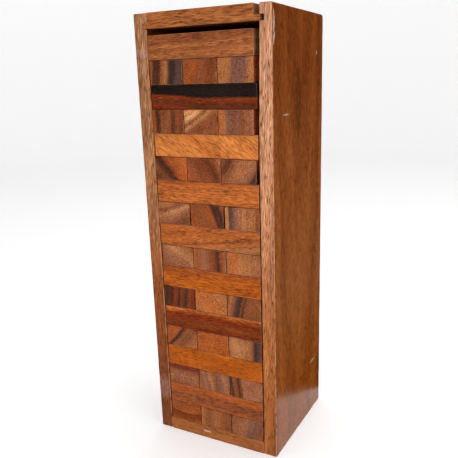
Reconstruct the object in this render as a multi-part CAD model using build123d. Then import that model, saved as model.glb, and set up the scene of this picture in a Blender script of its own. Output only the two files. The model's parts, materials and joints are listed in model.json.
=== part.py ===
from build123d import *
import os

# A tumbling tower of hardwood blocks, kept in its own upright wooden case.
#
# The case is two side boards, a back board and a base board, open at the front. Its lid slides forward on
# two tongues that run in grooves in the side boards. Inside stand eighteen layers of three blocks, each
# layer turned a quarter turn against the one below it.
#
# Millimetres. X runs across the front to the right, Y from the front to the back, and Z is up. The origin
# is the centre of the case's underside.

# The case
BOARD = 19.0
INSIDE_WIDTH = 152.5
INSIDE_DEPTH = 151.0
HEADROOM = 7.5  # between the top layer and the lid
CASE_DEPTH = INSIDE_DEPTH + BOARD
FRONT = -CASE_DEPTH / 2
RIGHT_LEAN = 3.0  # the right side's inner face leans out by this much at the top
RIGHT_LEAN_HEIGHT = 155.0

# The blocks. Three side by side are narrower than one is long, which leaves play in every layer.
BLOCK_LENGTH = 150.0
BLOCK_WIDTH = 49.5
SHORT_BLOCKS = {18: 147.5}  # the length in layers whose blocks are cut short
NARROW_BLOCKS = {13: 49.2, 15: 48.5, 17: 48.5}  # the width in layers whose blocks are cut narrow
BLOCK_ROUNDING = 1.5

# The stack. Layers are numbered from the bottom, and a layer that isn't named takes the usual value.
LAYERS = 18
LAYER_HEIGHT = 30.0
LAYER_GAP = 0.2
BLOCK_HEIGHT = LAYER_HEIGHT - LAYER_GAP
LEFT_PLAY = 1.3  # between a layer and the left side
LEFT_PLAYS = {9: 2.0, 11: 0.5, 13: 0.5, 15: 0.5, 16: 1.7, 17: 1.7, 18: 1.7}
END_ON_GAP = 0.7  # between the blocks of a layer whose ends show
END_ON_GAPS = {11: 1.5, 13: 0.5, 15: 0.4, 17: 0.4}
CROSSWISE_GAP = (BLOCK_LENGTH - 3 * BLOCK_WIDTH) / 2  # between the blocks of a layer whose sides show
PULLED_OUT = {11: 0.5, 13: 1.0, 15: 1.5, 16: 0.5, 17: 1.0, 18: 2.0}  # in front of the case

# The sliding lid, pushed up against the left side. Sides are -1 for the left and 1 for the right.
LID_WIDTH = 148.3  # between the tongues
LID_LEFT_GAP = 0.75
LID_PULLED_OUT = 1.0
TONGUE_HEIGHT = 6.4
TONGUE_REACHES = {-1: 6.5, 1: 8.0}
TONGUE_GAP = 0.3  # above and below the tongue, and behind the lid
GROOVE_DEPTHS = {-1: 6.0, 1: 9.0}
LID_BOTTOM = BOARD + LAYERS * LAYER_HEIGHT + HEADROOM
CASE_HEIGHT = LID_BOTTOM + BOARD

# Rounded edges
OUTER_ROUNDING = 2.0
INNER_ROUNDING = 0.8
CORNER_ROUNDING = 3.0
BACK_TOP_ROUNDING = 5.0
LID_ROUNDING = 0.8
SAME_PLACE = 0.01  # edges nearer than this to a plane lie in it


def box(low, size):
    """A box from its lowest corner and its size."""
    return Pos(*low) * Box(*size, align=(Align.MIN, Align.MIN, Align.MIN))


def edges_along(solid, axis, **at):
    """The solid's straight edges along an axis whose middles lie at the given X, Y or Z."""
    found = solid.edges().filter_by(axis)
    for name, value in at.items():
        found = [e for e in found if abs(getattr(e.center(), name) - value) < SAME_PLACE]
    return ShapeList(found)


def lean_wedge(inside):
    """What the lean takes off the inner face of the right side board."""
    profile = Polyline(
        (inside, FRONT, CASE_HEIGHT - RIGHT_LEAN_HEIGHT),
        (inside + RIGHT_LEAN, FRONT, CASE_HEIGHT),
        (inside, FRONT, CASE_HEIGHT),
        close=True,
    )
    return extrude(make_face(profile), amount=INSIDE_DEPTH, dir=(0, 1, 0))


def side_board(side):
    """A side board with its lid groove."""
    inside = side * INSIDE_WIDTH / 2
    outside = side * (INSIDE_WIDTH / 2 + BOARD)
    back = FRONT + CASE_DEPTH
    board = box((min(inside, outside), FRONT, 0), (BOARD, CASE_DEPTH, CASE_HEIGHT))
    board = fillet(edges_along(board, Axis.X, Y=back, Z=CASE_HEIGHT), BACK_TOP_ROUNDING)
    corners = edges_along(board, Axis.X, Y=FRONT) + edges_along(board, Axis.X, Y=back, Z=0)
    board = fillet(corners, CORNER_ROUNDING)
    outer_face = board.faces().sort_by(Axis.X)[0 if side < 0 else -1]
    board = fillet(outer_face.edges(), OUTER_ROUNDING)
    if side < 0:
        board = fillet(edges_along(board, Axis.Z, X=inside, Y=FRONT), INNER_ROUNDING)
    else:
        board = board - lean_wedge(inside)
    depth = GROOVE_DEPTHS[side]
    groove_low = (min(inside, inside + side * depth), FRONT - BOARD, LID_BOTTOM - TONGUE_GAP)
    groove_size = (depth, INSIDE_DEPTH + BOARD, TONGUE_HEIGHT + 2 * TONGUE_GAP)
    return board - box(groove_low, groove_size)


def base_board():
    """The base board, held between the side boards in front of the back board."""
    base = box((-INSIDE_WIDTH / 2, FRONT, 0), (INSIDE_WIDTH, INSIDE_DEPTH, BOARD))
    return fillet(edges_along(base, Axis.X, Y=FRONT), INNER_ROUNDING)


def back_board():
    """The back board, held between the side boards from the floor to their tops."""
    back = FRONT + INSIDE_DEPTH
    board = box((-INSIDE_WIDTH / 2, back, 0), (INSIDE_WIDTH, BOARD, CASE_HEIGHT))
    return fillet(edges_along(board, Axis.X, Y=back + BOARD), OUTER_ROUNDING)


def sliding_lid():
    """The lid: a board between the side boards with a tongue along the bottom of each end."""
    front = FRONT - LID_PULLED_OUT
    left = LID_LEFT_GAP - INSIDE_WIDTH / 2
    length = INSIDE_DEPTH - TONGUE_GAP
    body = box((left, front, LID_BOTTOM), (LID_WIDTH, length, BOARD))
    tongues_width = LID_WIDTH + sum(TONGUE_REACHES.values())
    tongues = box((left - TONGUE_REACHES[-1], front, LID_BOTTOM), (tongues_width, length, TONGUE_HEIGHT))
    lid = tongues + body
    top = lid.faces().sort_by(Axis.Z)[-1]
    shoulders = edges_along(lid, Axis.Z, Y=front).group_by(Axis.X)
    return fillet(top.edges() + shoulders[0] + shoulders[-1], LID_ROUNDING)


def end_on_layer(layer, left, floor):
    """Blocks side by side that run front to back, as {place: (lowest corner, size)}."""
    width = NARROW_BLOCKS.get(layer, BLOCK_WIDTH)
    size = (width, BLOCK_LENGTH, BLOCK_HEIGHT)
    pitch = width + END_ON_GAPS.get(layer, END_ON_GAP)
    front = FRONT - PULLED_OUT.get(layer, 0.0)
    places = ("left", "middle", "right")
    return {place: ((left + step * pitch, front, floor), size) for step, place in enumerate(places)}


def crosswise_layer(layer, left, floor):
    """Blocks one behind another that run left to right, as {place: (lowest corner, size)}."""
    size = (SHORT_BLOCKS.get(layer, BLOCK_LENGTH), BLOCK_WIDTH, BLOCK_HEIGHT)
    pitch = BLOCK_WIDTH + CROSSWISE_GAP
    fronts = {"front": FRONT - PULLED_OUT.get(layer, 0.0), "middle": FRONT + pitch, "back": FRONT + 2 * pitch}
    return {place: ((left, front, floor), size) for place, front in fronts.items()}


def stack():
    """Every block of the tower, as {name: (lowest corner, size)}. The bottom layer shows its ends."""
    blocks = {}
    for layer in range(1, LAYERS + 1):
        left = LEFT_PLAYS.get(layer, LEFT_PLAY) - INSIDE_WIDTH / 2
        floor = BOARD + (layer - 1) * LAYER_HEIGHT
        places = end_on_layer(layer, left, floor) if layer % 2 else crosswise_layer(layer, left, floor)
        for place, block in places.items():
            blocks[f"block_{layer:02d}_{place}"] = block
    return blocks


def block(low, size):
    """One block of the tower, with its edges eased."""
    return fillet(box(low, size).edges(), BLOCK_ROUNDING)


def build():
    """Every piece of the object, as {name: solid}."""
    pieces = {
        "left_side": side_board(-1),
        "right_side": side_board(1),
        "base": base_board(),
        "back_board": back_board(),
        "sliding_lid": sliding_lid(),
    }
    for name, (low, size) in stack().items():
        pieces[name] = block(low, size)
    return pieces


def write(pieces):
    """Writes each piece to parts/NAME.step."""
    os.makedirs("parts", exist_ok=True)
    for name, solid in pieces.items():
        solid.label = name
        export_step(solid, f"parts/{name}.step")


if __name__ == "__main__":
    write(build())
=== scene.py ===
import bpy
import json
import math
import numpy as np
from mathutils import Matrix, Vector, noise

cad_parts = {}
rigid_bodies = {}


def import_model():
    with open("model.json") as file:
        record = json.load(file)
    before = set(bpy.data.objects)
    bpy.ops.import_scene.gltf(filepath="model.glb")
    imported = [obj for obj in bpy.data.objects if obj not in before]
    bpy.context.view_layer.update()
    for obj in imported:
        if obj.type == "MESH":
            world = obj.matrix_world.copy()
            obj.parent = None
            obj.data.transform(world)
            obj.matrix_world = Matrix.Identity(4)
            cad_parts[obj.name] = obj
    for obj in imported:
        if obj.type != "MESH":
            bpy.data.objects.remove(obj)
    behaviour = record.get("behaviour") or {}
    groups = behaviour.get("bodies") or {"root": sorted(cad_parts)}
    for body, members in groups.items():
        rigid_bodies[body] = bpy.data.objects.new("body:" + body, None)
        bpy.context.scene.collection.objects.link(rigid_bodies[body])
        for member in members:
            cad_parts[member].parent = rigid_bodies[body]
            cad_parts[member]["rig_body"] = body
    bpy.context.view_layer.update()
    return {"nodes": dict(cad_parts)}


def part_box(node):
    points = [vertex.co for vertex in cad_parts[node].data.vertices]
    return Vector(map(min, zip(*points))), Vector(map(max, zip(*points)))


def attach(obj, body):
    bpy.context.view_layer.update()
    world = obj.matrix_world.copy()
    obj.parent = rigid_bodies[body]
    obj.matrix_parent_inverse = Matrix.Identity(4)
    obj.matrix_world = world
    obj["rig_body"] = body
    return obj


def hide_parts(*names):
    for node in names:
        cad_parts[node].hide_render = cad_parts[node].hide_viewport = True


# The looks of a tumbling tower in its wooden case: every board and block is rebuilt with worn, slightly
# uneven edges in its CAD solid's place, and each is cut from its own piece of procedural wood.

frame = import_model()

MM = 0.001

# Tones of the woods, as the eye sees them, 0 to 255.
PALE = (214, 166, 128)
CREAM = (184, 129, 80)
SAND = (161, 104, 62)
TAN = (150, 90, 48)
GREY_TAN = (138, 83, 54)
HONEY = (181, 104, 46)
ORANGE = (166, 87, 34)
TEAK = (147, 84, 40)
AMBER = (159, 77, 14)
RUSSET = (143, 68, 23)
BROWN = (120, 63, 30)
CHESTNUT = (110, 49, 16)
RED_BROWN = (106, 35, 9)
UMBER = (80, 40, 20)
DARK = (55, 27, 14)
PLUM = (108, 67, 51)
SLATE = (76, 49, 40)
INK = (46, 30, 30)
EBONY = (30, 19, 16)


# ---- Wood ----

def linear(tone):
    """A tone as linear RGBA."""
    levels = [value / 255 for value in tone]
    return tuple(v / 12.92 if v <= 0.04045 else ((v + 0.055) / 1.055) ** 2.4 for v in levels) + (1.0,)


class Shader:
    """Short ways to add nodes to one new material."""

    def __init__(self, name):
        self.material = bpy.data.materials.new(name)
        self.material.use_nodes = True
        self.tree = self.material.node_tree
        self.tree.nodes.clear()

    def node(self, kind, inputs=(), **settings):
        """Adds a node. Its inputs are sockets to link or plain values, by name or by number."""
        node = self.tree.nodes.new("ShaderNode" + kind)
        for name, value in settings.items():
            setattr(node, name, value)
        for key, value in dict(inputs).items():
            if isinstance(value, bpy.types.NodeSocket):
                self.tree.links.new(value, node.inputs[key])
            else:
                node.inputs[key].default_value = value
        return node

    def maths(self, operation, a, b=0.0, c=0.0):
        """One number worked out from others."""
        return self.node("Math", {0: a, 1: b, 2: c}, operation=operation).outputs[0]

    def vector(self, operation, a, b):
        """One vector worked out from two others."""
        return self.node("VectorMath", {0: a, 1: b}, operation=operation).outputs[0]

    def scaled(self, vector, factor):
        """A vector times a number."""
        return self.node("VectorMath", {0: vector, "Scale": factor}, operation="SCALE").outputs[0]

    def stretched(self, vector, along, across):
        """A place for noise whose bumps are this long along X and this wide across it."""
        return self.vector("MULTIPLY", vector, (1 / along, 1 / across, 1 / across))

    def mix(self, factor, a, b):
        """Two colours mixed."""
        return self.node("Mix", {0: factor, 6: a, 7: b}, data_type="RGBA").outputs[2]

    def noise(self, vector, detail=2.0, colour=False):
        """Noise with a grain of one unit."""
        node = self.node("TexNoise", {"Vector": vector, "Scale": 1.0, "Detail": detail})
        return node.outputs["Color" if colour else "Fac"]

    def between(self, value, low, high):
        """0 at low, 1 at high, and smooth between them."""
        node = self.node("MapRange", {0: value, 1: low, 2: high}, interpolation_type="SMOOTHSTEP")
        return node.outputs[0]

    def ramp(self, position, stops):
        """The RGBA values at a position, from (position, values) stops."""
        low, high = stops[0][0], stops[-1][0]
        fraction = self.maths("DIVIDE", self.maths("SUBTRACT", position, low), high - low)
        ramp = self.node("ValToRGB", {0: fraction})
        elements = ramp.color_ramp.elements
        for place, values in stops[1:-1]:
            elements.new((place - low) / (high - low)).color = values
        elements[0].color = stops[0][1]
        elements[-1].color = stops[-1][1]
        return ramp.outputs[0]


# What a piece of wood can differ in. Lengths are millimetres.
WOOD = {
    "grain": "X",  # the axis that the fibres follow
    "stripes": [(-25, ORANGE), (25, ORANGE)],  # (place across the grain, tone)
    "lean": 0,  # the way that the stripes follow each other, degrees from across the piece to up it
    "curve": 300,  # radius of the growth rings; negative bends them the other way
    "slope": 0,  # degrees that the fibres climb along the piece
    "bends": [(-75, 0), (75, 0)],  # (place along the grain, how far the stripes are moved there)
    "wander": 3.0,  # how far the stripes stray
    "ragged": 2.5,  # how far their edges run along the fibres
    "rings": 0.18,  # strength of the fine growth rings
    "ring": 2.4,  # their spacing
    "fibre": 0.45,  # strength of the fine fibres, which are speckles on a cut end
    "fine": 1.2,  # the width of a fibre
    "stretch": 9,  # how much longer it is than wide
    "pores": 0.5,  # strength of the open pores
    "pore": 1.4,  # their size across the grain
    "mottle": 0.25,  # strength of the cloudy shading
    "calm": 0.0,  # how much weaker all this is on the faces above and below
    "fleck": 0.0,  # strength of pale flecks
    # Tints of the faces that look each way, plain or as a list of (place along the grain, tint)
    "ends": (1, 1, 1),  # the cut ends
    "across": (1, 1, 1),  # the faces across the piece
    "top": (1, 1, 1),  # the faces above and below
    "wear_and_highlight": 0.3,  # how pale the arrises are painted: rubbed wear, and a painted highlight where the rounded edges catch the light
    "roughness": 0.46,
    "specular": 0.12,
    "marks": (),  # (middle, half size, tone, strength) of patches and scuffs, in metres
}
AXES = {"X": "XYZ", "Y": "YXZ", "Z": "ZYX"}  # the grain axis, then across the piece, then up it

# What is the same in every piece of wood. Sizes are millimetres, and pairs are along and across the grain.
STRAY_WAVES = (110, 24)  # the waves that the stripes stray in
CLOUDS = (55, 17)
TEARS = (9, 2.2)  # the torn edges of marks
RING_WAVES = 160  # how far a fine growth ring keeps its strength
RUBBED_AND_HIGHLIT_PATCHES = 9  # the pale patches on the arrises: rubbed wear and painted highlight
PORE_STRETCH = 8  # how much longer a pore is than wide


def along_grain(s, place, look):
    """A place, turned so that X follows the fibres, Y is across the piece and Z is up it."""
    xyz = s.node("SeparateXYZ", {0: place}).outputs
    order = AXES[look["grain"]]
    wooden = s.node("CombineXYZ", {i: xyz[axis] for i, axis in enumerate(order)}).outputs[0]
    turned = {"Vector": wooden, "Angle": math.radians(look["slope"])}
    return s.node("VectorRotate", turned, rotation_type="Y_AXIS").outputs[0]


def ring_depth(s, wooden, lengthways, seeded, look):
    """How far out a place lies across the growth rings, which stray a little from true circles."""
    stray = s.noise(s.stretched(seeded, *STRAY_WAVES), 4.0, colour=True)
    stray = s.scaled(s.vector("SUBTRACT", stray, (0.5, 0.5, 0.5)), look["wander"] * 4)
    section = s.vector("MULTIPLY", s.vector("ADD", wooden, stray), (0, 1, 1))
    lean = math.radians(look["lean"])
    pith = (0, -look["curve"] * math.cos(lean), -look["curve"] * math.sin(lean))
    radius = s.node("VectorMath", {0: section, 1: pith}, operation="DISTANCE").outputs["Value"]
    depth = s.maths("SUBTRACT", radius, abs(look["curve"]))
    if look["curve"] < 0:
        depth = s.maths("MULTIPLY", depth, -1)
    bend = s.ramp(lengthways, [(at, (shift, shift, shift, 1)) for at, shift in look["bends"]])
    return s.maths("SUBTRACT", depth, bend)


def fine_figure(s, seeded, depth, seed, look):
    """The fibres, fine growth rings, open pores and clouds of the wood, each from 0 to 1."""
    fibre_place = s.stretched(seeded, look["fine"] * look["stretch"], look["fine"])
    along = s.node("SeparateXYZ", {0: seeded}).outputs[0]
    across_rings = s.maths("DIVIDE", depth, look["ring"])
    ring_place = {0: across_rings, 1: s.maths("DIVIDE", along, RING_WAVES), 2: seed}
    pore_place = s.stretched(seeded, look["pore"] * PORE_STRETCH, look["pore"])
    dots = s.node("TexVoronoi", {"Vector": pore_place, "Scale": 1.0}).outputs["Distance"]
    return {
        "fibre": s.noise(fibre_place, 6.0),
        "rings": s.noise(s.node("CombineXYZ", ring_place).outputs[0], 2.0),
        "pores": s.between(dots, 0.34, 0.12),
        "clouds": s.noise(s.stretched(seeded, *CLOUDS), 2.0),
    }


def shading(s, figure, level, look):
    """How bright the wood is beside its stripe's tone. Level is 1 on the faces above and below."""
    light = 1.0
    strengths = {"rings": 4 * look["rings"], "fibre": 4 * look["fibre"], "clouds": 3 * look["mottle"]}
    for part, strength in strengths.items():
        light = s.maths("MULTIPLY_ADD", s.maths("SUBTRACT", figure[part], 0.5), strength, light)
    light = s.maths("MULTIPLY_ADD", figure["pores"], -look["pores"], light)
    if look["fleck"]:
        bright_fibre = s.between(figure["fibre"], 0.56, 0.72)
        light = s.maths("MULTIPLY_ADD", bright_fibre, look["fleck"], light)
    if look["calm"]:
        strength = s.maths("MULTIPLY_ADD", level, -look["calm"], 1.0)
        light = s.maths("MULTIPLY_ADD", s.maths("SUBTRACT", light, 1.0), strength, 1.0)
    return light


def face_tint(s, lengthways, facing, look):
    """The tints of the ends, sides and faces above, by how far the surface turns each way."""
    tint = (0, 0, 0)
    for axis, way in zip(AXES[look["grain"]], ("ends", "across", "top")):
        part = look[way]
        if isinstance(part, list):
            part = s.ramp(lengthways, [(at, (*values, 1)) for at, values in part])
        tint = s.vector("ADD", tint, s.scaled(part, facing[axis]))
    return tint


def marked(s, colour, place, seeded, marks):
    """A colour with patches and scuffs on it, torn along the grain. Their places are in metres."""
    for middle, half, tone, strength in marks:
        offset = s.vector("SUBTRACT", place, tuple(middle))
        parts = s.vector("DIVIDE", offset, tuple(half))
        distance = s.node("VectorMath", {0: parts}, operation="LENGTH").outputs["Value"]
        torn = s.noise(s.stretched(seeded, *TEARS), 4.0)
        inside = s.between(distance, 1.0, 0.3)
        mark = s.between(s.maths("MULTIPLY", inside, torn), 0.3, 0.5)
        colour = s.mix(s.maths("MULTIPLY", mark, strength), colour, linear(tone))
    return colour


def finish(s, colour, figure, wear_and_highlight, look):
    """The surface: rougher in the clouds, the pores and on worn arrises, and sunk in the pores."""
    roughness = s.maths("MULTIPLY_ADD", figure["clouds"], 0.16, look["roughness"] - 0.08)
    roughness = s.maths("MULTIPLY_ADD", figure["pores"], 0.1, roughness)
    roughness = s.maths("MULTIPLY_ADD", wear_and_highlight, 0.12, roughness)
    relief = s.maths("MULTIPLY_ADD", figure["pores"], -0.9, figure["fibre"])
    relief = s.maths("MULTIPLY_ADD", figure["rings"], 0.4, relief)
    bump = s.node("Bump", {"Strength": 0.35, "Distance": 0.25 * MM, "Height": relief})
    shader_inputs = {
        "Base Color": colour,
        "Roughness": roughness,
        "Specular IOR Level": look["specular"],
        "Normal": bump.outputs[0],
    }
    surface = s.node("BsdfPrincipled", shader_inputs)
    s.node("OutputMaterial", {"Surface": surface.outputs[0]})


def wood(name, centre, seed, look):
    """A piece of solid wood. Its figure runs through the whole piece, so its faces agree."""
    look = dict(WOOD, **look)
    s = Shader(name)
    coordinates = s.node("TexCoord").outputs
    place = s.scaled(s.vector("SUBTRACT", coordinates["Object"], tuple(centre)), 1 / MM)
    wooden = along_grain(s, place, look)
    lengthways = s.node("SeparateXYZ", {0: wooden}).outputs[0]
    seeded = s.vector("ADD", wooden, (seed * 171.0, seed * 31.0, seed * 53.0))
    normal = coordinates["Normal"]
    facing = s.node("SeparateXYZ", {0: s.vector("MULTIPLY", normal, normal)}).outputs

    # The stripes, with edges that run along the fibres
    depth = ring_depth(s, wooden, lengthways, seeded, look)
    figure = fine_figure(s, seeded, depth, seed, look)
    away = s.maths("SUBTRACT", figure["fibre"], 0.5)
    ragged_depth = s.maths("MULTIPLY_ADD", away, look["ragged"] * 4, depth)
    colour = s.ramp(ragged_depth, [(at, linear(tone)) for at, tone in look["stripes"]])

    # Brighter wood is also paler, and darker wood redder
    light = shading(s, figure, facing[AXES[look["grain"]][2]], look)
    powers = enumerate((1.0, 1.2, 1.5))
    channels = {channel: s.maths("POWER", light, power) for channel, power in powers}
    colour = s.vector("MULTIPLY", colour, s.node("CombineXYZ", channels).outputs[0])
    colour = s.vector("MULTIPLY", colour, face_tint(s, lengthways, facing, look))

    # Arrises painted paler, in patches: partly rubbed wear, partly a painted highlight where the rounded
    # edges catch the light
    edge = s.node("Attribute", attribute_name="edge").outputs["Fac"]
    patches = s.noise(s.scaled(seeded, 1 / RUBBED_AND_HIGHLIT_PATCHES), 3.0)
    wear_and_highlight = s.maths("MULTIPLY", s.between(edge, 0.15, 0.9), s.between(patches, 0.36, 0.58))
    colour = s.mix(s.maths("MULTIPLY", wear_and_highlight, look["wear_and_highlight"]), colour, linear(PALE))

    colour = marked(s, colour, coordinates["Object"], seeded, look["marks"])
    finish(s, colour, figure, wear_and_highlight, look)
    return s.material


# ---- Boards and blocks ----

ROUNDING_PARTS = (0, 0.2, 0.45, 0.7, 1.0, 1.6)  # where the lattice lines lie near an edge, in radii
FINE_STEP = 4 * MM  # how far apart the lattice lines lie between the edges
COARSE_STEP = 4.5 * MM
WEAR = 0.35  # how much wider than asked the rounding of an edge is where it is most worn
LEAST_ROUNDING = 0.6  # how much of it is left where the edge is least worn
WEAR_LENGTH = 14 * MM  # how far apart worn and sharp stretches lie
HOLLOW = 0.12 * MM  # how deep the faces sink in places
HOLLOW_WIDTH = 22 * MM


def lattice_lines(low, high, rounding, step, planes):
    """Lattice lines along an axis: close together at its ends, even between, and at the planes."""
    edge = [rounding * part for part in ROUNDING_PARTS]
    count = max(1, round((high - low - 2 * edge[-1]) / step))
    even = np.linspace(low + edge[-1], high - edge[-1], count + 1)
    lines = [low + e for e in edge[:-1]] + list(even) + [high - e for e in reversed(edge[:-1])]
    for plane in planes:
        if low < plane < high:
            lines = [line for line in lines if line in (low, high) or abs(line - plane) > step / 4]
            lines.append(plane)
    return np.array(sorted(lines))


def cells_faces(solid):
    """The faces between a lattice's filled and empty cells, as corner indices that turn outward."""
    shape = [count + 1 for count in solid.shape]
    padded = np.pad(solid, 1)
    faces = []
    for axis in range(3):
        second, third = (axis + 1) % 3, (axis + 2) % 3
        for way in (1, -1):
            neighbour = np.roll(padded, -way, axis)[1:-1, 1:-1, 1:-1]
            cells = np.argwhere(solid & ~neighbour)
            cells[:, axis] += way == 1
            corners = []
            for b, c in ((0, 0), (1, 0), (1, 1), (0, 1))[::way]:
                corner = cells.copy()
                corner[:, second] += b
                corner[:, third] += c
                corners.append(np.ravel_multi_index(corner.T, shape))
            faces.append(np.stack(corners, 1))
    return np.concatenate(faces)


def noise_at(points, size, seed):
    """Noise from about -1 to 1 at each point, with bumps of about that size."""
    offset = Vector((seed * 7.31, seed * 3.17, seed * 5.71))
    return np.array([noise.noise(Vector(point) / size + offset) for point in points])


def lattice(low, high, rounding, step, cuts):
    """The points and faces on the surface of a box that is less its cuts."""
    planes = [[corner[axis] for cut in cuts for corner in cut] for axis in range(3)]
    lines = [lattice_lines(low[i], high[i], rounding, step, planes[i]) for i in range(3)]
    middles = np.meshgrid(*[(line[1:] + line[:-1]) / 2 for line in lines], indexing="ij")
    solid = np.ones(middles[0].shape, bool)
    for cut_low, cut_high in cuts:
        cells = [(m > a) & (m < b) for m, a, b in zip(middles, cut_low, cut_high)]
        solid &= ~np.all(cells, axis=0)
    used, faces = np.unique(cells_faces(solid), return_inverse=True)
    grid = np.unravel_index(used, [len(line) for line in lines])
    points = np.stack([line[index] for line, index in zip(lines, grid)], 1)
    return points, faces.reshape(-1, 4)


def corners_beside(points, low, high, cuts):
    """Two corners for each point: those of the box, or beside a cut, those of what is left of it."""
    lows, highs = np.tile(low, (len(points), 1)), np.tile(high, (len(points), 1))
    for cut_low, cut_high in cuts:
        beside = np.all((points > cut_low)[:, 1:] & (points < cut_high)[:, 1:], axis=1)
        if cut_low[0] > low[0]:
            highs[beside, 0] = cut_low[0]
        else:
            lows[beside, 0] = cut_high[0]
    return lows, highs


def eased(points, low, high, cuts, rounding, seed):
    """The points with worn, rounded edges and shallow hollows, and how near each is to an edge."""
    lows, highs = corners_beside(points, low, high, cuts)
    radii = rounding * (1 + WEAR * noise_at(points, WEAR_LENGTH, seed)[:, None])
    radii = np.clip(radii, rounding * LEAST_ROUNDING, rounding * (1 + WEAR))
    core = np.clip(points, lows + radii, highs - radii)
    out = points - core
    distance = np.linalg.norm(out, axis=1, keepdims=True)
    on_surface = distance >= radii * 0.999
    sunk = HOLLOW * (0.5 + 0.5 * noise_at(points, HOLLOW_WIDTH, seed + 40)[:, None])
    shrink = np.where(on_surface, (radii - sunk) / np.maximum(distance, 1e-9), 1)
    closeness = np.where(on_surface, (distance / radii - 1) / (math.sqrt(2) - 1), 0)
    return core + out * shrink, closeness.clip(0, 1)


def board(name, low, high, rounding, step, seed, cuts=(), shape=None):
    """A board between two corners, with eased, worn edges, less any boxes that are cut out of it.

    A shape is a function that moves the board's points afterwards, given its corners.
    """
    low, high = np.array(low), np.array(high)
    points, faces = lattice(low, high, rounding * (1 + WEAR), step, cuts)
    points, closeness = eased(points, low, high, cuts, rounding, seed)
    if shape:
        shape(points, low, high)

    mesh = bpy.data.meshes.new(name)
    mesh.from_pydata(points.tolist(), [], faces.tolist())
    mesh.attributes.new("edge", "FLOAT", "POINT").data.foreach_set("value", closeness.ravel())
    mesh.shade_smooth()
    mesh.set_sharp_from_angle(angle=math.radians(40))
    piece = bpy.data.objects.new(name, mesh)
    bpy.context.scene.collection.objects.link(piece)
    return piece


def settle(piece, node, look, seed):
    """Puts a piece in its CAD node's place, with that node's body, and gives it its wood."""
    low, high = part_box(node)
    piece.data.materials.append(wood(node + "_wood", (low + high) / 2, seed, look))
    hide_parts(node)
    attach(piece, frame["nodes"][node]["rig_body"])


# ---- The blocks ----

BLOCK_ROUNDING = 1.5 * MM

# End-on blocks show a cut end, duller than their sides; crosswise blocks show a long side.
END_ON = {"grain": "Y", "across": (0.9, 0.6, 0.4), "top": (0.9, 0.6, 0.4), "wander": 1.4, "ragged": 2.2,
          "fibre": 0.75, "fine": 1.0, "fleck": 0.35}
CROSSWISE = {"grain": "X", "lean": 90, "ends": (0.8, 0.85, 0.95), "fibre": 0.65, "fine": 0.9,
             "pores": 0.6, "pore": 1.1, "mottle": 0.35}

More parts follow.
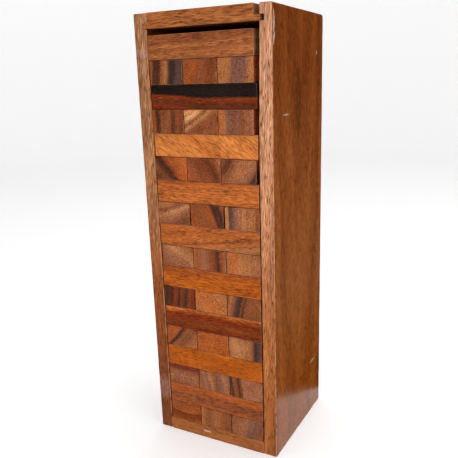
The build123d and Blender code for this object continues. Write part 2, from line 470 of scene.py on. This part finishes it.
LOOKS = {
    "17_left": {
        "stripes": [(-25, BROWN), (-21, BROWN), (-18, DARK), (-15, UMBER), (-11, DARK), (-7, BROWN),
                    (0, TAN), (4, SLATE), (8, DARK), (11, INK), (15, SLATE), (25, SLATE)],
        "lean": -4, "fleck": 0.3,
    },
    "17_middle": {
        "stripes": [(-25, BROWN), (-10, RUSSET), (0, BROWN), (13, CHESTNUT), (25, BROWN)],
        "lean": -20,
    },
    "17_right": {
        "stripes": [(-25, TAN), (-8, TAN), (-4, PLUM), (12, PLUM), (19, TAN), (25, TAN)],
        "lean": -8, "fleck": 0.5,
    },
    "16_front": {
        "stripes": [(-15, RED_BROWN), (-10, UMBER), (-6, RED_BROWN), (-2, CHESTNUT), (0, EBONY),
                    (20, EBONY)],
        "bends": [(-75, 7), (-40, 4), (-5, 0), (10, -6), (30, -6), (50, -1), (75, -2)],
        "wander": 1.5, "fleck": 0.6, "specular": 0.06, "wear_and_highlight": 0.1,
    },
    "15_left": {
        "stripes": [(-25, RED_BROWN), (-20, RUSSET), (-16, DARK), (-12, UMBER), (-8, BROWN),
                    (4, BROWN), (8, UMBER), (16, BROWN), (25, CHESTNUT)],
    },
    "15_middle": {
        "stripes": [(-25, SAND), (-12, CREAM), (-7, BROWN), (-3, SAND), (3, BROWN), (7, BROWN),
                    (25, BROWN)],
        "lean": -57, "fleck": 0.5,
    },
    "15_right": {
        "stripes": [(-25, RUSSET), (-15, TAN), (-11, PLUM), (-6, PLUM), (-2, BROWN), (4, PLUM),
                    (10, BROWN), (25, GREY_TAN)],
    },
    "14_front": {"stripes": [(-15, HONEY), (0, ORANGE), (15, HONEY)], "slope": -32, "pores": 0.6},
    "13_left": {
        "stripes": [(-25, UMBER), (-14, BROWN), (-8, UMBER), (-3, DARK), (0, CHESTNUT), (5, RUSSET),
                    (10, RUSSET), (25, ORANGE)],
        "lean": 41, "fleck": 0.3,
    },
    "13_middle": {
        "stripes": [(-25, RUSSET), (-12, BROWN), (6, CHESTNUT), (12, UMBER), (15, CHESTNUT),
                    (20, BROWN), (25, TAN)],
        "lean": 29,
    },
    "13_right": {
        "stripes": [(-25, BROWN), (-18, UMBER), (-12, BROWN), (-6, GREY_TAN), (0, TAN),
                    (15, GREY_TAN), (22, DARK), (25, SLATE)],
        "lean": -33,
    },
    "12_front": {"stripes": [(-15, RUSSET), (-10, ORANGE), (10, ORANGE), (15, RUSSET)]},
    "11_left": {
        "stripes": [(-25, GREY_TAN), (-12, TAN), (-8, BROWN), (-5, GREY_TAN), (-2, SAND),
                    (4, GREY_TAN), (12, BROWN), (25, SLATE)],
        "lean": -72,
    },
    "11_middle": {
        "stripes": [(-25, RUSSET), (-5, BROWN), (6, RUSSET), (12, DARK), (16, UMBER), (20, DARK),
                    (25, BROWN)],
        "lean": 21, "fleck": 0.3,
    },
    "11_right": {
        "stripes": [(-25, SAND), (-20, SAND), (-18, SLATE), (-12, PLUM), (-4, GREY_TAN), (4, TAN),
                    (8, GREY_TAN), (14, TAN), (25, BROWN)],
        "fleck": 0.4,
    },
    "10_front": {
        "stripes": [(-15, TAN), (-8, ORANGE), (-5, BROWN), (-2, ORANGE), (15, ORANGE)],
        "slope": 8,
    },
    "09_left": {"stripes": [(-25, BROWN), (0, GREY_TAN), (8, SAND), (25, BROWN)], "lean": 60},
    "09_middle": {
        "stripes": [(-25, TAN), (-19, RUSSET), (-12, GREY_TAN), (2, BROWN), (8, CHESTNUT),
                    (13, DARK), (17, CHESTNUT), (21, BROWN), (25, GREY_TAN)],
    },
    "09_right": {"stripes": [(-25, GREY_TAN), (-14, ORANGE), (-4, TAN), (10, TAN), (25, GREY_TAN)]},
    "08_front": {"stripes": [(-15, AMBER), (4, AMBER), (15, RUSSET)], "specular": 0.08},
    "07_left": {
        "stripes": [(-25, UMBER), (-20, DARK), (-16, UMBER), (-13, DARK), (-9, RED_BROWN),
                    (-4, CHESTNUT), (0, DARK), (4, CHESTNUT), (8, UMBER), (11, DARK),
                    (15, CHESTNUT), (25, RED_BROWN)],
        "lean": -8, "specular": 0.08,
    },
    "07_middle": {"stripes": [(-25, TAN), (-5, ORANGE), (25, TAN)], "lean": 40, "pores": 0.6},
    "07_right": {
        "stripes": [(-25, BROWN), (-20, TAN), (-15, BROWN), (-12, SLATE), (-6, DARK), (-3, BROWN),
                    (0, DARK), (3, BROWN), (25, BROWN)],
        "lean": -14,
    },
    "06_front": {
        "stripes": [(-15, RED_BROWN), (-4, CHESTNUT), (6, RED_BROWN), (12, RUSSET), (15, ORANGE)],
        "specular": 0.05,
    },
    "05_left": {
        "stripes": [(-25, RUSSET), (-9, RUSSET), (-6.5, DARK), (-4.5, DARK), (-2, BROWN),
                    (10, BROWN), (25, TAN)],
        "lean": -41, "wander": 1,
    },
    "05_middle": {
        "stripes": [(-15, RUSSET), (-4, AMBER), (0, RUSSET), (15, RUSSET)],
        "lean": 90, "fibre": 0.8, "fleck": 0.7,
    },
    "05_right": {
        "stripes": [(-25, TAN), (-8, SAND), (-4, TAN), (0, TAN), (3, GREY_TAN), (6, TAN),
                    (12, BROWN), (15, INK), (22, SLATE), (25, BROWN)],
    },
    "04_front": {"stripes": [(-15, AMBER), (15, AMBER)], "specular": 0.06},
    "03_left": {
        "stripes": [(-15, BROWN), (0, GREY_TAN), (8, BROWN), (11, RED_BROWN), (15, RED_BROWN)],
        "lean": 90, "fibre": 0.8, "fleck": 0.9,
    },
    "03_middle": {
        "stripes": [(-25, TAN), (-18, BROWN), (-15, GREY_TAN), (-9, PLUM), (-6, TAN), (2, BROWN),
                    (5, PLUM), (15, GREY_TAN), (18, TAN), (25, PLUM)],
        "lean": 14,
    },
    "03_right": {
        "stripes": [(-25, BROWN), (-21, DARK), (-17, BROWN), (-14, BROWN), (-10, DARK), (-6, BROWN),
                    (-3, GREY_TAN), (3, GREY_TAN), (25, GREY_TAN)],
        "lean": 6,
    },
    "02_front": {"stripes": [(-15, RUSSET), (0, BROWN), (5, RUSSET), (15, RUSSET)]},
    "01_left": {
        "stripes": [(-15, RUSSET), (-9, CHESTNUT), (-4, CHESTNUT), (-3, UMBER), (-1, RUSSET),
                    (15, BROWN)],
        "lean": 90, "curve": -60, "specular": 0.06,
    },
    "01_middle": {"stripes": [(-25, TAN), (-10, BROWN), (0, TAN), (10, BROWN), (25, BROWN)]},
    "01_right": {"stripes": [(-25, BROWN), (-5, GREY_TAN), (10, PLUM), (25, BROWN)], "lean": -20},
    "18_front": {
        "stripes": [(-15, BROWN), (-5, TEAK), (0, BROWN), (4, TEAK), (8, BROWN), (15, BROWN)],
        "slope": 2, "ends": (0.9, 1.3, 2.3),
    },
}
# The unseen blocks are cut from the same few boards as the seen crosswise ones.
HIDDEN = ("04_front", "10_front", "06_front", "12_front", "02_front", "08_front", "14_front",
          "18_front")


def block_look(name, index):
    """The wood of one block, by its layer and place."""
    if name.endswith("front"):
        return dict(CROSSWISE, **LOOKS[name])
    if name in LOOKS:
        return dict(END_ON, **LOOKS[name])
    return dict(CROSSWISE, **LOOKS[HIDDEN[index % len(HIDDEN)]])


def build_blocks():
    """Every block of the tower."""
    nodes = sorted(name for name in frame["nodes"] if name.startswith("block_"))
    for index, node in enumerate(nodes):
        low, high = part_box(node)
        piece = board(node + "_piece", low, high, BLOCK_ROUNDING, FINE_STEP, index)
        settle(piece, node, block_look(node[len("block_"):], index), index)


# ---- The case ----

# These repeat dimensions of the CAD that its bounding boxes don't give.
TONGUE_HEIGHT = 6.4 * MM
TONGUE_GAP = 0.3 * MM
LEFT_TONGUE_REACH = 6.5 * MM
RIGHT_TONGUE_REACH = 8 * MM
LEFT_GROOVE_DEPTH = 6 * MM
RIGHT_GROOVE_DEPTH = 9 * MM
RIGHT_LEAN = 3 * MM  # the right side's inner face leans out by this much at the top
RIGHT_LEAN_HEIGHT = 155 * MM
BACK_TOP_ROUNDING = 5 * MM

SIDE_ROUNDING = 2.0 * MM
BASE_ROUNDING = 1.0 * MM
BACK_ROUNDING = 1.5 * MM
LID_ROUNDING = 0.8 * MM

SCUFF = (204, 184, 166)
BLOOM = (160, 120, 108)
SIDE_TAN = (142, 79, 38)
SIDE_BROWN = (122, 64, 30)
SIDE = [(-60, SIDE_TAN), (-30, SIDE_BROWN), (-10, SIDE_TAN), (4, SIDE_BROWN), (12, SIDE_TAN),
        (30, SIDE_BROWN), (38, SIDE_TAN), (60, SIDE_BROWN)]
# Heights along a side board where its tints are given, from its middle
NEAR_FOOT, BELOW_MIDDLE, ABOVE_MIDDLE, NEAR_TOP = -208, -67, 83, 222


def round_back_top(points, low, high):
    """Rounds a side board's corner at the back of its top."""
    corner = high[1:] - BACK_TOP_ROUNDING
    beyond = points[:, 1:] - corner
    near = np.all(beyond > 0, axis=1)
    reach = beyond[near].max(axis=1) / np.linalg.norm(beyond[near], axis=1)
    points[near, 1:] = corner + beyond[near] * reach[:, None]


def shape_right_side(points, low, high):
    """Rounds the back top, and leans the inner face out towards the top, in front of the back board."""
    round_back_top(points, low, high)
    rise = np.clip((points[:, 2] - (high[2] - RIGHT_LEAN_HEIGHT)) / RIGHT_LEAN_HEIGHT, 0, 1)
    nearness = np.clip(1 - (points[:, 0] - low[0]) / RIGHT_GROOVE_DEPTH, 0, 1)
    in_front = points[:, 1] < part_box("back_board")[0].y - 0.1 * MM
    points[:, 0] += RIGHT_LEAN * rise * nearness * in_front


def build_sides(inside, back, lid_bottom):
    """The two side boards, each with a groove for the lid."""
    groove_bottom = lid_bottom - TONGUE_GAP
    groove_top = lid_bottom + TONGUE_HEIGHT + TONGUE_GAP
    sides = (
        ("left_side", -1, LEFT_GROOVE_DEPTH, round_back_top, 60),
        ("right_side", 1, RIGHT_GROOVE_DEPTH, shape_right_side, 61),
    )
    for node, way, depth, shape, seed in sides:
        low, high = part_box(node)
        across = sorted((way * 0.5 * inside, way * (inside + depth)))
        cut = ((across[0], low.y - 1, groove_bottom), (across[1], back, groove_top))
        piece = board(node + "_piece", low, high, SIDE_ROUNDING, COARSE_STEP, seed, [cut], shape)
        settle(piece, node, side_look(way, low, high), seed)


def side_look(way, low, high):
    """The wood of a side board, with the marks that it bears and painted light down its front edge."""
    front, top = low.y, high.z
    # Tints of the outer and inner faces by height: darker and warmer near the top, warmer near the foot.
    face = [
        (NEAR_FOOT, (0.95, 0.85, 0.4)),
        (BELOW_MIDDLE, (1.0, 1.1, 1.1)),
        (ABOVE_MIDDLE, (0.95, 0.95, 0.85)),
        (NEAR_TOP, (0.73, 0.64, 0.48)),
    ]
    if way < 0:
        # Painted light on the front and back edges: darker and redder near the foot, paler and brighter
        # towards the top, where the light falls.
        across = [
            (NEAR_FOOT, (0.64, 0.5, 0.25)),
            (BELOW_MIDDLE, (0.8, 0.66, 0.4)),
            (ABOVE_MIDDLE, (1.25, 1.8, 2.9)),
            (NEAR_TOP, (1.3, 2.1, 3.9)),
        ]
        marks = [
            (((low.x + high.x) / 2, front, 68 * MM), (20 * MM, 10 * MM, 36 * MM), BLOOM, 0.35),
            (((low.x + high.x) / 2, front, 538 * MM), (20 * MM, 10 * MM, 12 * MM), BLOOM, 0.4),
        ]
    else:
        # Painted light on the front and back edges: darker near the foot, much paler and brighter towards
        # the top, where the light falls.
        across = [
            (NEAR_FOOT, (1.2, 1.25, 0.95)),
            (BELOW_MIDDLE, (1.3, 1.5, 1.8)),
            (ABOVE_MIDDLE, (1.75, 2.65, 5.2)),
            (NEAR_TOP, (1.9, 3.2, 7.0)),
        ]
        marks = [
            ((high.x, front + 5 * MM, top - 27 * MM), (10 * MM, 5 * MM, 34 * MM), SCUFF, 0.7),
            ((high.x, front + 39 * MM, top - 125 * MM), (10 * MM, 17 * MM, 2 * MM), SCUFF, 0.45),
            ((high.x, front + 136 * MM, top - 501 * MM), (10 * MM, 20 * MM, 3 * MM), SCUFF, 0.45),
            ((high.x, front + 144 * MM, top - 50 * MM), (10 * MM, 4 * MM, 5 * MM), SCUFF, 0.5),
            ((high.x, high.y - 2 * MM, 65 * MM), (10 * MM, 26 * MM, 70 * MM), EBONY, 0.5),
            ((high.x, front + 62 * MM, 85 * MM), (10 * MM, 14 * MM, 40 * MM), RED_BROWN, 0.5),
            ((high.x, front + 100 * MM, 70 * MM), (10 * MM, 12 * MM, 26 * MM), RED_BROWN, 0.4),
            ((high.x, front + 79 * MM, top - 112 * MM), (10 * MM, 18 * MM, 75 * MM), DARK, 0.5),
        ]
    # The side boards' strong pale arrises are mostly a painted highlight, with some rubbed wear.
    return {
        "grain": "Z", "stripes": SIDE, "lean": 90, "curve": 70, "slope": 3, "wander": 6, "ring": 5,
        "fibre": 0.6, "fine": 0.9, "stretch": 14, "pores": 0.75, "pore": 1.5, "mottle": 0.15,
        "calm": 0.2, "fleck": 0.3, "across": across, "top": face, "wear_and_highlight": 0.6,
        "roughness": 0.16, "specular": 0.13, "marks": marks,
    }


def build_case():
    """The two sides, the base, the back and the sliding lid."""
    lid_low, lid_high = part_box("sliding_lid")
    base_low, base_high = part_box("base")
    back_low, back_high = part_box("back_board")
    build_sides(base_high.x, back_low.y, lid_low.z)

    piece = board("base_piece", base_low, base_high, BASE_ROUNDING, COARSE_STEP, 62)
    marks = [((-15 * MM, base_low.y, 11 * MM), (12 * MM, 10 * MM, 3 * MM), SCUFF, 0.5)]
    settle(piece, "base", {"stripes": [(-10, TEAK), (10, TEAK)], "lean": 90, "marks": marks}, 62)

    piece = board("back_board_piece", back_low, back_high, BACK_ROUNDING, COARSE_STEP, 63)
    settle(piece, "back_board", {"grain": "Z", "lean": 90, "curve": 90, "stripes": SIDE}, 63)

    shoulder = lid_low.z + TONGUE_HEIGHT
    left, right = lid_low.x + LEFT_TONGUE_REACH, lid_high.x - RIGHT_TONGUE_REACH
    cuts = [
        ((lid_low.x - 1, lid_low.y - 1, shoulder), (left, lid_high.y + 1, lid_high.z + 1)),
        ((right, lid_low.y - 1, shoulder), (lid_high.x + 1, lid_high.y + 1, lid_high.z + 1)),
    ]
    piece = board("sliding_lid_piece", lid_low, lid_high, LID_ROUNDING, FINE_STEP, 64, cuts)
    look = {"stripes": [(-80, TEAK), (0, TEAK), (80, RUSSET)], "lean": 70, "fibre": 0.65,
            "ends": (1.0, 1.3, 2.2)}
    settle(piece, "sliding_lid", look, 64)


# ---- Stage, light and camera ----

def stage_mesh(name, points, faces, material):
    """A smooth mesh that is part of the stage."""
    mesh = bpy.data.meshes.new(name)
    mesh.from_pydata(points, [], faces)
    mesh.shade_smooth()
    mesh.materials.append(material)
    stage = bpy.data.objects.new(name, mesh)
    bpy.context.scene.collection.objects.link(stage)
    return stage


# The part of the floor that the varnish reflects. Its edge from right to back shows as a line, low down
# in the right side.
NEAR_FLOOR = [(1.344, -1.485, 0), (-1.096, 1.675, 0), (-3, 0.5, 0), (-1, -3, 0)]
FLOOR_DROP = 0.1 * MM  # how far the rest of the floor lies below it
LIT_POINT = Vector((0, 0, 0.3))  # the middle of the case, where the lights point


def floor_dish(radius, bend, wall, spokes):
    """The points and faces of a round floor that curves up into a wall."""
    profile = [(radius * part, 0) for part in (0.2, 0.45, 0.7, 0.9)]
    turns = [math.radians(90) * step / 12 for step in range(13)]
    profile += [(radius + bend * math.sin(turn), bend * (1 - math.cos(turn))) for turn in turns]
    profile.append((radius + bend, bend + wall))
    points = [(0, 0, -FLOOR_DROP)]
    for out, height in profile:
        for spoke in range(spokes):
            angle = 2 * math.pi * spoke / spokes
            points.append((out * math.cos(angle), out * math.sin(angle), height - FLOOR_DROP))
    faces = [(0, 1 + spoke, 1 + (spoke + 1) % spokes) for spoke in range(spokes)]
    for ring in range(len(profile) - 1):
        inner, outer = 1 + ring * spokes, 1 + (ring + 1) * spokes
        for spoke in range(spokes):
            after = (spoke + 1) % spokes
            faces.append((inner + spoke, outer + spoke, outer + after, inner + after))
    return points, faces


def build_stage():
    """A pale floor that curves up into a wall all round. Only its nearest part shows in the varnish."""
    s = Shader("pale_floor")
    pale = {
        "Base Color": (0.9, 0.9, 0.9, 1),
        "Roughness": 0.8,
        "Emission Color": (1, 1, 1, 1),
        "Emission Strength": 0.26,
    }
    s.node("OutputMaterial", {"Surface": s.node("BsdfPrincipled", pale).outputs[0]})
    far = stage_mesh("floor", *floor_dish(3.2, 1.6, 3.0, 96), s.material)
    far.visible_glossy = False
    stage_mesh("floor_near", NEAR_FLOOR, [(0, 1, 2, 3)], s.material)


def area_light(name, place, size, power):
    """A soft square light that points at the case and doesn't show itself."""
    light = bpy.data.lights.new(name, "AREA")
    light.size = size
    light.energy = power
    lamp = bpy.data.objects.new(name, light)
    lamp.location = place
    lamp.rotation_euler = (LIT_POINT - Vector(place)).to_track_quat("-Z", "Y").to_euler()
    lamp.visible_camera = False
    bpy.context.scene.collection.objects.link(lamp)


def build_lights():
    """Soft light from the front, a weaker one from the right, and an even glow from all round."""
    area_light("front_light", (0.5, -2.25, 1.15), 1.2, 22)
    area_light("right_light", (2.2, -0.6, 1.6), 1.6, 9)
    area_light("top_light", (0.2, 0.6, 2.6), 2.0, 20)
    world = bpy.data.worlds.new("studio")
    bpy.context.scene.world = world
    world.use_nodes = True
    glow = world.node_tree.nodes["Background"].inputs
    glow["Color"].default_value = (1, 1, 1, 1)
    glow["Strength"].default_value = 0.34
    world.cycles_visibility.glossy = False
    bpy.context.scene.view_settings.view_transform = "Standard"


def build_camera():
    """The camera, in front of the case and to its right, a little above the middle."""
    forward = Vector((-0.44178, 0.85513, -0.27125)).normalized()
    roll = math.radians(-1.50)
    level = forward.cross(Vector((0, 0, 1))).normalized()
    upright = level.cross(forward)
    right = level * math.cos(roll) + upright * math.sin(roll)
    up = upright * math.cos(roll) - level * math.sin(roll)
    camera = bpy.data.objects.new("camera", bpy.data.cameras.new("camera"))
    camera.matrix_world = Matrix((right, up, -forward)).transposed().to_4x4()
    camera.location = (0.3729, -0.7040, 0.4994)
    camera.data.lens = 44.85
    camera.data.shift_x = -0.0330
    camera.data.shift_y = 0.0316
    camera.data.clip_start = 0.01
    bpy.context.scene.collection.objects.link(camera)
    bpy.context.scene.camera = camera


build_blocks()
build_case()
build_stage()
build_lights()
build_camera()
